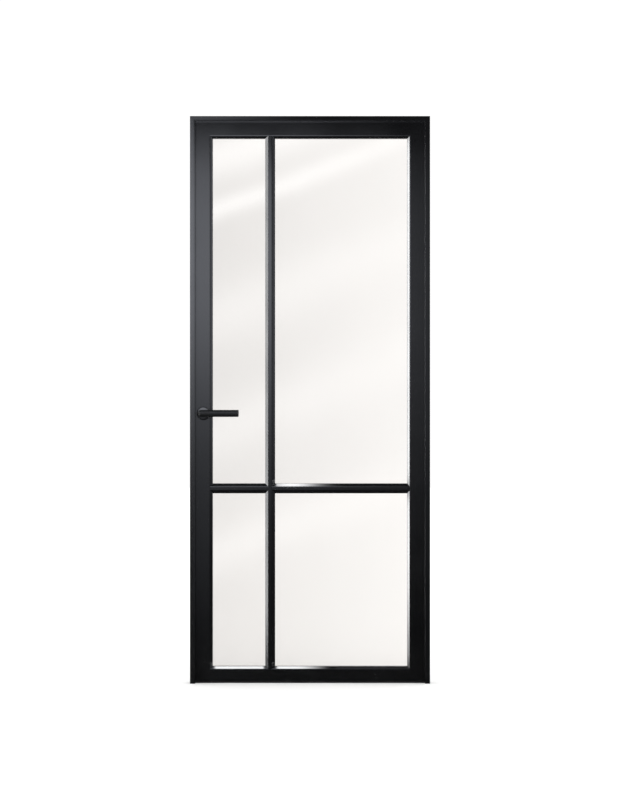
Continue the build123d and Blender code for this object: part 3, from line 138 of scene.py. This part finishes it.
# ------------------------------------------------------------------ surfaces of the door
def paint(name, dark, light, worn, rough, grain=1.0, edge=0.0012, gloss=0.5, dome=None):
    """Stoved satin paint: faint cloudiness, orange peel, fine powder grain, and edges rubbed a little brighter and smoother."""
    k = Look(name)
    clouds = k.noise(6.5, 3.0, 0.55)
    spots = k.noise(210.0, 2.0, 0.6)
    fine = k.noise(1250.0, 2.0, 0.6)
    peel = k.noise(340.0, 1.0, 0.4)
    mixed = k.math("ADD", k.math("MULTIPLY", clouds, 0.65), k.math("MULTIPLY", spots, 0.35))
    body = k.blend(k.span(mixed, 0.35, 0.65, 0.0, 1.0), dark, light)
    rub = k.math("MULTIPLY", k.arris(edge), k.span(k.noise(38.0, 3.0, 0.65), 0.42, 0.66, 0.0, 1.0, smooth=True))
    # a trace of dust low down, thinning out upwards
    low = k.math("MULTIPLY", k.span(k.axis("Z"), 0.0, 0.32, 1.0, 0.0, smooth=True), k.span(k.noise(55.0, 4.0, 0.6), 0.45, 0.75, 0.0, 1.0))
    dusty = k.blend(k.math("MULTIPLY", low, 0.04), body, (0.055, 0.052, 0.047))
    k.set(Base_Color=k.blend(k.math("MULTIPLY", rub, 0.55), dusty, worn))
    lively = k.math("ADD", k.math("MULTIPLY", clouds, 0.5), k.math("MULTIPLY", fine, 0.5))
    base = k.span(lively, 0.36, 0.64, rough - 0.035, rough + 0.035)
    smoother = k.math("SUBTRACT", base, k.math("MULTIPLY", rub, 0.07))
    k.set(Roughness=k.math("ADD", smoother, k.math("MULTIPLY", low, 0.06), clamp=True))
    skin = k.bump(peel, 0.000012 * grain, 0.7)
    if dome:
        # a softly domed face round the given axis: X, Z and radius of the dome
        cx, cz, radius = dome
        dx2 = k.math("POWER", k.math("SUBTRACT", k.axis("X"), cx), 2.0)
        dz2 = k.math("POWER", k.math("SUBTRACT", k.axis("Z"), cz), 2.0)
        skin = k.bump(peel, 0.000012 * grain, 0.7, k.bump(k.math("MULTIPLY", k.math("ADD", dx2, dz2), -0.5 / radius), 1.0, 1.0))
    k.set(Normal=k.bump(fine, 0.000006 * grain, 0.8, skin))
    k.set(IOR=1.5, Specular_IOR_Level=gloss)
    return k.mat


def rubber(name, tone, grain):
    """Extruded rubber: dull, with fine die lines and a bloom."""
    k = Look(name)
    bloom = k.noise(28.0, 4.0, 0.6)
    grit = k.noise(grain, 3.0, 0.6)
    k.set(Base_Color=k.blend(k.span(bloom, 0.35, 0.7, 0.0, 1.0), tone, tuple(c * 1.9 for c in tone)))
    k.set(Roughness=k.span(grit, 0.3, 0.7, 0.62, 0.82))
    k.set(Normal=k.bump(grit, 0.00003, 0.7))
    k.set(Specular_IOR_Level=0.35)
    return k.mat


def plastic(name, tone, rough, cell):
    """Moulded plastic with a fine spark-eroded grain."""
    k = Look(name)
    grain = k.cells(cell)
    flow = k.noise(18.0, 2.0, 0.5, vector=k.scaled(1.0, 1.0, 0.35), distortion=0.6)
    k.set(Base_Color=k.blend(k.span(flow, 0.35, 0.65, 0.0, 1.0), tuple(c * 0.85 for c in tone), tuple(c * 1.2 for c in tone)))
    k.set(Roughness=k.span(grain, 0.0, 0.9, rough - 0.05, rough + 0.08))
    k.set(Normal=k.bump(grain, 0.00002, 0.6))
    return k.mat


def brushed(name, tone, rough, stretch, tarnish, metallic=1.0, depth=0.000010):
    """Metal with fine lines along its length and faint stains."""
    k = Look(name)
    lines = k.noise(1.0, 3.0, 0.65, vector=k.scaled(*stretch))
    stain = k.noise(22.0, 4.0, 0.6)
    rub = k.arris(0.0006)
    body = k.blend(k.span(lines, 0.3, 0.7, 0.0, 1.0), tuple(c * 0.88 for c in tone), tuple(min(1.0, c * 1.08) for c in tone))
    aged = k.blend(k.span(stain, 0.5, 0.8, 0.0, 0.45, smooth=True), body, tarnish)
    k.set(Base_Color=k.blend(k.math("MULTIPLY", rub, 0.4), aged, tuple(min(1.0, c * 1.3) for c in tone)))
    k.set(Metallic=metallic)
    k.set(Roughness=k.span(k.math("ADD", k.math("MULTIPLY", lines, 0.6), k.math("MULTIPLY", stain, 0.4)), 0.3, 0.7, rough - 0.06, rough + 0.08))
    k.set(Normal=k.bump(lines, depth, 0.8))
    return k.mat


def plated(name, tone, rough):
    """Zinc-plated steel: small crystals, a blue and yellow cast, tiny scratches."""
    k = Look(name)
    crystals = k.cells(420.0, out="Color")
    tint = k.noise(35.0, 3.0, 0.5)
    grey = k.blend(k.span(tint, 0.35, 0.65, 0.0, 1.0), tuple(c * f for c, f in zip(tone, (0.92, 0.97, 1.06))), tuple(c * f for c, f in zip(tone, (1.05, 1.02, 0.90))))
    k.set(Base_Color=k.blend(0.10, grey, crystals))
    k.set(Metallic=1.0)
    k.set(Roughness=k.span(k.noise(600.0, 3.0, 0.6), 0.3, 0.7, rough - 0.07, rough + 0.09))
    k.set(Normal=k.bump(k.cells(420.0), 0.000012, 0.5))
    return k.mat


def clear_glass(name):
    """Clear float glass. It lets the light through to what stands behind it."""
    k = Look(name)
    film = k.noise(3.2, 3.0, 0.5)
    wiped = k.noise(1.0, 2.0, 0.5, vector=k.scaled(5.0, 5.0, 1.4), distortion=0.6)
    haze = k.math("ADD", k.math("MULTIPLY", film, 0.5), k.math("MULTIPLY", wiped, 0.5))
    # painted reflection: the glass is tinted lighter towards the hinge side, standing in for the brighter sheen
    # mirrored there; the haze noise varies the tint a little
    side = k.span(k.axis("X"), -0.374, 0.392, 0.0, 1.0)
    thick_haze_with_sheen = k.blend(side, (0.788, 0.767, 0.748), (0.926, 0.903, 0.880))
    thin_haze_with_sheen = k.blend(side, (0.772, 0.751, 0.731), (0.912, 0.889, 0.865))
    k.set(Base_Color=k.blend(k.span(haze, 0.35, 0.65, 0.0, 1.0), thick_haze_with_sheen, thin_haze_with_sheen))
    k.set(Transmission_Weight=1.0)
    k.set(Roughness=0.0)
    k.set(IOR=1.5)
    path = k.node("ShaderNodeLightPath")
    clear = k.node("ShaderNodeBsdfTransparent")
    clear.inputs["Color"].default_value = (0.86, 0.87, 0.865, 1.0)
    mix = k.node("ShaderNodeMixShader")
    k.feed(mix.inputs[0], path.outputs["Is Shadow Ray"])
    k.feed(mix.inputs[1], k.bsdf.outputs["BSDF"])
    k.feed(mix.inputs[2], clear.outputs["BSDF"])
    k.feed(k.out.inputs["Surface"], mix.outputs[0])
    return k.mat


PAINT_DARK, PAINT_LIGHT, PAINT_WORN = (0.0022, 0.0024, 0.0028), (0.0034, 0.0036, 0.0041), (0.022, 0.023, 0.025)
looks = {
    "frame_paint": paint("frame_paint_look", PAINT_DARK, PAINT_LIGHT, PAINT_WORN, 0.21),
    "leaf_paint": paint("leaf_paint_look", PAINT_DARK, PAINT_LIGHT, PAINT_WORN, 0.21),
    "bead_paint": paint("bead_paint_look", (0.0024, 0.0026, 0.0030), (0.0036, 0.0038, 0.0043), PAINT_WORN, 0.25),
    "hinge_black": paint("hinge_look", (0.0046, 0.0048, 0.0050), (0.0080, 0.0082, 0.0085), (0.085, 0.084, 0.082), 0.33, grain=1.6, edge=0.0008),
    "handle_black": paint("handle_look", (0.0040, 0.0041, 0.0043), (0.0062, 0.0063, 0.0066), (0.040, 0.040, 0.041), 0.36, grain=0.7, edge=0.0006, gloss=0.18),
    "glass": clear_glass("glass_look"),
    "gasket_rubber": rubber("gasket_look", (0.0075, 0.0075, 0.0078), 900.0),
    "seal_rubber": rubber("seal_look", (0.0085, 0.0085, 0.0086), 700.0),
    "black_plastic": plastic("black_plastic_look", (0.011, 0.011, 0.0115), 0.44, 1500.0),
    "block_plastic": plastic("setting_block_look", (0.030, 0.075, 0.19), 0.48, 1200.0),
    "satin_steel": brushed("satin_steel_look", (0.60, 0.595, 0.58), 0.30, (900.0, 900.0, 9.0), (0.30, 0.28, 0.25)),
    "spring_steel": brushed("spring_steel_look", (0.42, 0.41, 0.40), 0.28, (160.0, 700.0, 700.0), (0.20, 0.17, 0.14)),
    "black_screw": brushed("black_screw_look", (0.030, 0.030, 0.033), 0.36, (800.0, 800.0, 800.0), (0.060, 0.045, 0.035), metallic=0.8),
    "cleat_aluminium": brushed("cleat_look", (0.70, 0.71, 0.72), 0.38, (14.0, 800.0, 800.0), (0.52, 0.52, 0.53)),
    "zinc_steel": plated("zinc_look", (0.58, 0.59, 0.60), 0.36),
}
# the rosettes share the handle's paint, on a softly domed face
rosette_look = paint("rosette_look", (0.0032, 0.0033, 0.0036), (0.0050, 0.0051, 0.0055), (0.040, 0.040, 0.041), 0.22, grain=0.7, edge=0.0006, gloss=0.66, dome=(-0.401, 1.015, 0.110))
slots_of = {}
for part in frame["record"]["materials"]:
    for n in part.get("nodes") or part.get("parts") or []:
        slots_of[n] = part["slot"]
for name, o in nodes.items():
    current = o.material_slots[0].material.name.split(".")[0] if o.material_slots and o.material_slots[0].material else ""
    slot = slots_of.get(name) or current
    if slot not in looks:
        raise SystemExit(f"no look for node {name}, slot {slot!r}")
    for s in o.material_slots:
        s.material = rosette_look if name in ("rosette_front", "rosette_back") else looks[slot]


# ------------------------------------------------------------------ added pieces
def strip(name, profile, x0, x1, spans, look, body, slot):
    """A profile in millimetres of Y and Z, drawn out along X with closed, slightly drawn-in ends."""
    mesh = bpy.data.meshes.new(name)
    bm = bmesh.new()
    cy = sum(y for y, z in profile) / len(profile)
    stations = [(x0, 0.94), (x0 + 0.0006, 1.0)]
    stations += [(x0 + (x1 - x0) * i / spans, 1.0) for i in range(1, spans)]
    stations += [(x1 - 0.0006, 1.0), (x1, 0.94)]
    top = max(z for y, z in profile)
    rings = []
    for x, draw in stations:
        rings.append([bm.verts.new((x, (cy + (y - cy) * draw) * 0.001, (top + (z - top) * draw) * 0.001)) for y, z in profile])
    for a, b in zip(rings, rings[1:]):
        for i in range(len(profile)):
            j = (i + 1) % len(profile)
            bm.faces.new((a[i], b[i], b[j], a[j]))
    bm.faces.new(rings[0])
    bm.faces.new(list(reversed(rings[-1])))
    bmesh.ops.recalc_face_normals(bm, faces=bm.faces)
    bm.to_mesh(mesh)
    bm.free()
    o = bpy.data.objects.new(name, mesh)
    scene.collection.objects.link(o)
    mesh.materials.append(look)
    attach(o, body)
    return o


# Rubber sweep with two lips under the leaf, which closes the gap to the floor.
sweep = [
    (-19.2, 5.95), (-19.2, 4.9), (-18.9, 4.2), (-18.5, 3.2), (-18.2, 1.8), (-18.1, 0.7), (-17.7, 0.4), (-17.2, 0.6), (-16.9, 1.8), (-16.2, 3.1), (-15.0, 3.8),
    (15.0, 3.8), (16.2, 3.1), (16.9, 1.8), (17.2, 0.6), (17.7, 0.4), (18.1, 0.7), (18.2, 1.8), (18.5, 3.2), (18.9, 4.2), (19.2, 4.9), (19.2, 5.95),
]
strip("bottom_sweep", sweep, -0.4375, 0.4375, 24, looks["seal_rubber"], "leaf", "seal_rubber")


# ------------------------------------------------------------------ studio
def quad(name, corners):
    """A flat stage panel from four corners, its face towards the side from which they run anticlockwise."""
    mesh = bpy.data.meshes.new(name)
    bm = bmesh.new()
    bm.faces.new([bm.verts.new(c) for c in corners])
    bm.to_mesh(mesh)
    bm.free()
    o = bpy.data.objects.new(name, mesh)
    scene.collection.objects.link(o)
    return o


def reflected(k):
    """1 for a ray that left a glossy surface by reflection, 0 for one that came through the glass."""
    path = k.node("ShaderNodeLightPath").outputs
    return k.math("MULTIPLY", path["Is Glossy Ray"], k.math("SUBTRACT", 1.0, path["Is Transmission Ray"]))


# its far edge lies behind the cross bar, seen from the camera
floor = quad("stage_floor", [(-220, -220, 0), (220, -220, 0), (220, 26.6, 0), (-220, 26.6, 0)])
k = Look("stage_floor_look")
k.tree.nodes.remove(k.bsdf)
pale = k.node("ShaderNodeBsdfDiffuse")
tone = k.span(k.noise(1.3, 3.0, 0.5), 0.3, 0.7, 0.0, 1.0)
through = k.node("ShaderNodeLightPath").outputs["Is Transmission Ray"]
k.feed(pale.inputs["Color"], k.blend(through, k.blend(tone, (0.90, 0.90, 0.898), (0.915, 0.915, 0.912)), (0.79, 0.79, 0.788)))
seen_in_gloss = k.node("ShaderNodeBsdfDiffuse")
# painted reflection: to rays that the paint reflects, the floor is dark in front of the door and paler further off,
# while the camera sees it pale
fx, fy = k.axis("X"), k.axis("Y")
aside = k.span(k.math("ABSOLUTE", fx), 1.3, 2.6, 0.0, 1.0, smooth=True)
behind = k.span(fy, 0.4, 1.6, 0.0, 1.0, smooth=True)
painted_reflection_floor = k.blend(k.math("MAXIMUM", aside, behind), (0.035, 0.035, 0.036), (0.34, 0.34, 0.34))
k.feed(seen_in_gloss.inputs["Color"], painted_reflection_floor)
# painted reflection: in the sharp reflections of the panes the floor glows, more brightly to the right
panes = k.node("ShaderNodeEmission")
k.feed(panes.inputs["Strength"], k.span(fx, -0.42, 0.44, 0.35, 0.60))
mirrored = k.node("ShaderNodeMixShader")
k.feed(mirrored.inputs[0], k.node("ShaderNodeLightPath").outputs["Is Singular Ray"])
k.feed(mirrored.inputs[1], seen_in_gloss.outputs[0])
k.feed(mirrored.inputs[2], panes.outputs[0])
mix = k.node("ShaderNodeMixShader")
k.feed(mix.inputs[0], reflected(k))
k.feed(mix.inputs[1], pale.outputs[0])
k.feed(mix.inputs[2], mirrored.outputs[0])
k.feed(k.out.inputs["Surface"], mix.outputs[0])
floor.data.materials.append(k.mat)


def softbox(name, corners, build, cover=None, cool=True, near=False):
    """A softbox that only the gloss of the door picks up. It isn't seen directly, nor through the glass, and casts no shadow.
    It is open from behind, and where cover is 0. The panes don't mirror the ones that stand near."""
    o = quad(name, corners)
    k = Look(name + "_look")
    k.tree.nodes.remove(k.bsdf)
    light = k.node("ShaderNodeEmission")
    k.feed(light.inputs["Strength"], build(k))
    sharp = k.node("ShaderNodeLightPath").outputs["Is Singular Ray"]
    k.feed(light.inputs["Color"], k.blend(sharp, (0.965, 1.0, 1.11) if cool else (0.995, 1.0, 1.01), (1.0, 1.0, 1.0)))
    clear = k.node("ShaderNodeBsdfTransparent")
    open_ = k.node("ShaderNodeNewGeometry").outputs["Backfacing"]
    if cover:
        open_ = k.math("MAXIMUM", open_, k.math("SUBTRACT", 1.0, cover(k)))
    if near:
        open_ = k.math("MAXIMUM", open_, sharp)
    mix = k.node("ShaderNodeMixShader")
    k.feed(mix.inputs[0], open_)
    k.feed(mix.inputs[1], light.outputs[0])
    k.feed(mix.inputs[2], clear.outputs[0])
    k.feed(k.out.inputs["Surface"], mix.outputs[0])
    o.data.materials.append(k.mat)
    o.visible_camera = False
    o.visible_transmission = False
    o.visible_diffuse = False
    o.visible_shadow = False
    return o


def between(which, a, b, soft):
    """A cover that fades in after a and out before b."""
    def build(k):
        v = k.axis(which)
        return k.math("MULTIPLY", k.span(v, a, a + soft, 0.0, 1.0, smooth=True), k.span(v, b - soft, b, 1.0, 0.0, smooth=True))
    return build


def bell(k, value, middle, width):
    """exp(-((value - middle) / width)^2)"""
    t = k.math("DIVIDE", k.math("SUBTRACT", value, middle), width)
    return k.math("EXPONENT", k.math("MULTIPLY", k.math("MULTIPLY", t, t), -1.0))


FRONT_Y = -1.5
FRONT_TOP = 2.33
CEILING = 2.42


def front_light(k):
    x, z = k.axis("X"), k.axis("Z")
    above = k.math("GREATER_THAN", z, 1.66)
    below = k.math("SUBTRACT", 1.0, above)
    tall = k.math("ADD", k.math("MULTIPLY", above, bell(k, z, 1.66, 0.90)), k.math("MULTIPLY", below, bell(k, z, 1.66, 0.60)))
    across = k.span(x, -0.20, 0.46, 1.0, 0.0, smooth=True)
    tail = k.math("MULTIPLY", k.math("MULTIPLY", bell(k, z, 0.50, 0.36), k.span(x, -0.40, -0.24, 1.0, 0.0, smooth=True)), 0.26)
    blob = k.math("ADD", k.math("MULTIPLY", k.math("MULTIPLY", tall, 2.45), across), tail)
    base = k.math("MULTIPLY", bell(k, z, 1.55, 0.85), 0.46)
    near = k.span(x, -0.92, -0.62, 0.2, 1.0, smooth=True)
    middle = k.math("MULTIPLY", k.math("ADD", blob, base), near)
    # the part that the frame's sloping left edge mirrors
    slope = k.math("ADD", k.math("MULTIPLY", above, bell(k, z, 1.72, 1.00)), k.math("MULTIPLY", below, bell(k, z, 1.72, 0.68)))
    edge = k.math("MULTIPLY", k.math("MULTIPLY", bell(k, x, -1.12, 0.30), slope), 3.9)
    # the shaded head of the softbox, which the top rail mirrors
    over_stile, over_rail = k.span(z, 2.09, 2.20, 1.0, 0.02, smooth=True), k.span(z, 2.04, 2.17, 1.0, 0.02, smooth=True)
    shade = k.math("ADD", over_stile, k.math("MULTIPLY", k.math("SUBTRACT", over_rail, over_stile), k.span(x, -0.40, -0.26, 0.0, 1.0, smooth=True)))
    middle = k.math("MULTIPLY", middle, shade)
    edge = k.math("MULTIPLY", edge, k.span(z, 2.10, 2.33, 1.0, 0.45, smooth=True))
    soft = k.math("ADD", middle, edge)
    # what the panes mirror: broad slanting bands, narrower and brighter towards the top
    wave = k.noise(1.0, 2.0, 0.45, vector=k.scaled(1.6, 1.0, 1.6))
    along = k.math("ADD", k.math("ADD", k.math("MULTIPLY", x, -0.40), z), k.span(wave, 0.3, 0.7, -0.02, 0.02))
    sheen = k.span(x, -0.42, 0.44, 0.35, 0.60)
    calm = k.span(x, -0.34, 0.40, 1.0, 0.35)
    for middle_z, width, height in ((2.24, 0.10, 4.3), (2.02, 0.050, 4.2), (1.57, 0.13, 2.3), (1.09, 0.13, 2.2), (0.57, 0.11, 2.2)):
        sheen = k.math("ADD", sheen, k.math("MULTIPLY", k.math("MULTIPLY", bell(k, along, middle_z, width), height), calm))
    sharp = k.node("ShaderNodeLightPath").outputs["Is Singular Ray"]
    n = k.node("ShaderNodeMix", data_type="FLOAT")
    k.feed(n.inputs[0], sharp)
    k.feed(n.inputs[2], soft)
    k.feed(n.inputs[3], k.math("MAXIMUM", sheen, 0.0))
    return n.outputs[0]


def left_light(k):
    """Bright strip that the flanks facing left mirror, dimmer towards the frame's own side."""
    y, z = k.axis("Y"), k.axis("Z")
    strip = k.math("MULTIPLY", bell(k, y, -1.32, 0.26), 14.5)
    side = k.math("MULTIPLY", k.math("MULTIPLY", bell(k, z, 1.65, 0.60), k.span(y, -1.0, -0.3, 0.0, 1.0, smooth=True)), 1.6)
    return k.math("ADD", strip, side)


def foot_light(k):
    """The lower end of the left strip, on the floor."""
    return k.math("MULTIPLY", bell(k, k.axis("Y"), -1.32, 0.26), 24.0)


def right_light(k):
    return k.span(k.axis("Z"), 0.45, 1.40, 0.04, 1.9, smooth=True)


def ceiling_light(k):
    x, y = k.axis("X"), k.axis("Y")
    # mirrored by the sloping edge of the frame's head
    return k.math("MULTIPLY", k.math("MULTIPLY", bell(k, y, -0.66, 0.22), k.span(x, -0.62, 0.02, 1.0, 0.04, smooth=True)), 2.2)


def sill_light(k):
    """Mirrored by the bevel of the bottom rail, left of the middle."""
    return k.span(k.axis("X"), -0.06, 0.08, 24.0, 0.0, smooth=True)


def bar_light(k):
    """Mirrored by the upper flank of the cross bar, next to the vertical bar."""
    return k.math("MULTIPLY", bell(k, k.axis("X"), -0.070, 0.082), 26.0)


def flank_light(k):
    """A tall strip that only the bevel of the right stile mirrors from here."""
    return k.span(k.axis("Z"), 0.05, 0.45, 9.0, 27.0, smooth=True)


softbox("stage_front_softbox", [(1.9, FRONT_Y, 0.02), (-1.9, FRONT_Y, 0.02), (-1.9, FRONT_Y, FRONT_TOP), (1.9, FRONT_Y, FRONT_TOP)], front_light)
softbox("stage_left_softbox", [(-1.9, -1.9, 0.02), (-1.9, 0.6, 0.02), (-1.9, 0.6, 2.4), (-1.9, -1.9, 2.4)], left_light, cool=False)
softbox("stage_left_foot", [(-1.9, -1.7, 0.006), (-1.35, -1.7, 0.006), (-1.35, -0.8, 0.006), (-1.9, -0.8, 0.006)], foot_light, between("X", -1.96, -1.35, 0.12), cool=False, near=True)
softbox("stage_right_softbox", [(1.9, 0.6, 0.02), (1.9, -1.9, 0.02), (1.9, -1.9, 2.4), (1.9, 0.6, 2.4)], right_light)
softbox("stage_ceiling_softbox", [(-1.9, -2.2, CEILING), (-1.9, 0.5, CEILING), (1.9, 0.5, CEILING), (1.9, -2.2, CEILING)], ceiling_light)
for tag, a, b in (("left", -0.364, -0.170), ("right", -0.130, 0.100)):
    softbox("stage_sill_softbox_" + tag, [(a, -0.044, 0.078), (a, -0.018, 0.078), (b, -0.018, 0.078), (b, -0.044, 0.078)], sill_light, between("X", a, b, 0.01), cool=False, near=True)
softbox("stage_bar_softbox", [(-0.131, -0.042, 0.765), (-0.131, -0.020, 0.765), (0.14, -0.020, 0.765), (0.14, -0.042, 0.765)], bar_light, between("X", -0.131, 0.14, 0.008), cool=False, near=True)
for tag, a, b in (("lower", 0.03, 0.70), ("upper", 0.74, 2.09)):
    softbox("stage_flank_softbox_" + tag, [(-0.049, -0.3175, a), (0.149, -0.0925, a), (0.149, -0.0925, b), (-0.049, -0.3175, b)], flank_light, between("Z", a, b, 0.03), cool=False, near=True)

world = bpy.data.worlds.new("studio")
scene.world = world
world.use_nodes = True
t = world.node_tree
t.nodes.clear()


def wnode(kind, **settings):
    n = t.nodes.new(kind)
    for key, value in settings.items():
        setattr(n, key, value)
    return n


def wmath(op, a, b=0.0, clamp=False):
    n = wnode("ShaderNodeMath", operation=op, use_clamp=clamp)
    for socket, value in ((n.inputs[0], a), (n.inputs[1], b)):
        if isinstance(value, bpy.types.NodeSocket):
            t.links.new(value, socket)
        else:
            socket.default_value = value
    return n.outputs[0]


def wspan(value, a0, a1, b0, b1):
    n = wnode("ShaderNodeMapRange", interpolation_type="SMOOTHSTEP")
    t.links.new(value, n.inputs["Value"])
    for key, v in (("From Min", a0), ("From Max", a1), ("To Min", b0), ("To Max", b1)):
        n.inputs[key].default_value = v
    return n.outputs["Result"]


way = wnode("ShaderNodeSeparateXYZ")
t.links.new(wnode("ShaderNodeTexCoord").outputs["Generated"], way.inputs[0])
dx, dy, dz = way.outputs
path = wnode("ShaderNodeLightPath").outputs
# what the paint mirrors: a dim room, with a paler band behind and overhead
over = wmath("MULTIPLY", wspan(dz, 0.10, 0.60, 0.0, 1.0), wspan(dz, 0.60, 0.95, 1.0, 0.45))
rear = wmath("MULTIPLY", wspan(dy, 0.0, 0.75, 0.0, 1.0), over)
left = wmath("MULTIPLY", wspan(dx, -0.9, 0.1, 1.0, 0.0), over)
gloss = wmath("ADD", wmath("ADD", wmath("MULTIPLY", rear, 0.60), wmath("MULTIPLY", left, 0.55)), 0.06)
lights = wmath("ADD", wmath("MULTIPLY", wspan(dz, 0.05, 0.95, 0.0, 1.0), 0.10), wmath("ADD", wmath("MULTIPLY", path["Is Diffuse Ray"], 0.26), 1.06))
strength = wnode("ShaderNodeMix", data_type="FLOAT")
t.links.new(wmath("MULTIPLY", path["Is Glossy Ray"], wmath("SUBTRACT", 1.0, path["Is Transmission Ray"])), strength.inputs[0])
t.links.new(lights, strength.inputs[2])
t.links.new(gloss, strength.inputs[3])
sky = wnode("ShaderNodeBackground")
sky.inputs["Color"].default_value = (1.0, 1.0, 1.0, 1.0)
t.links.new(strength.outputs[0], sky.inputs["Strength"])
t.links.new(sky.outputs[0], wnode("ShaderNodeOutputWorld").inputs["Surface"])

scene.view_settings.view_transform = "Standard"
scene.view_settings.look = "None"

# ------------------------------------------------------------------ camera
camera = bpy.data.cameras.new("camera")
camera.type = "PERSP"
camera.lens = 143.82
camera.sensor_fit = "AUTO"
camera.sensor_width = 36.0
camera.clip_start = 0.1
camera.clip_end = 1000.0
viewer = bpy.data.objects.new("camera", camera)
viewer.location = (0.0, -12.05, 1.0655)
viewer.rotation_euler = (math.radians(90.0), 0.0, 0.0)
scene.collection.objects.link(viewer)
scene.camera = viewer

# ------------------------------------------------------------------ scene update
bpy.context.view_layer.update()
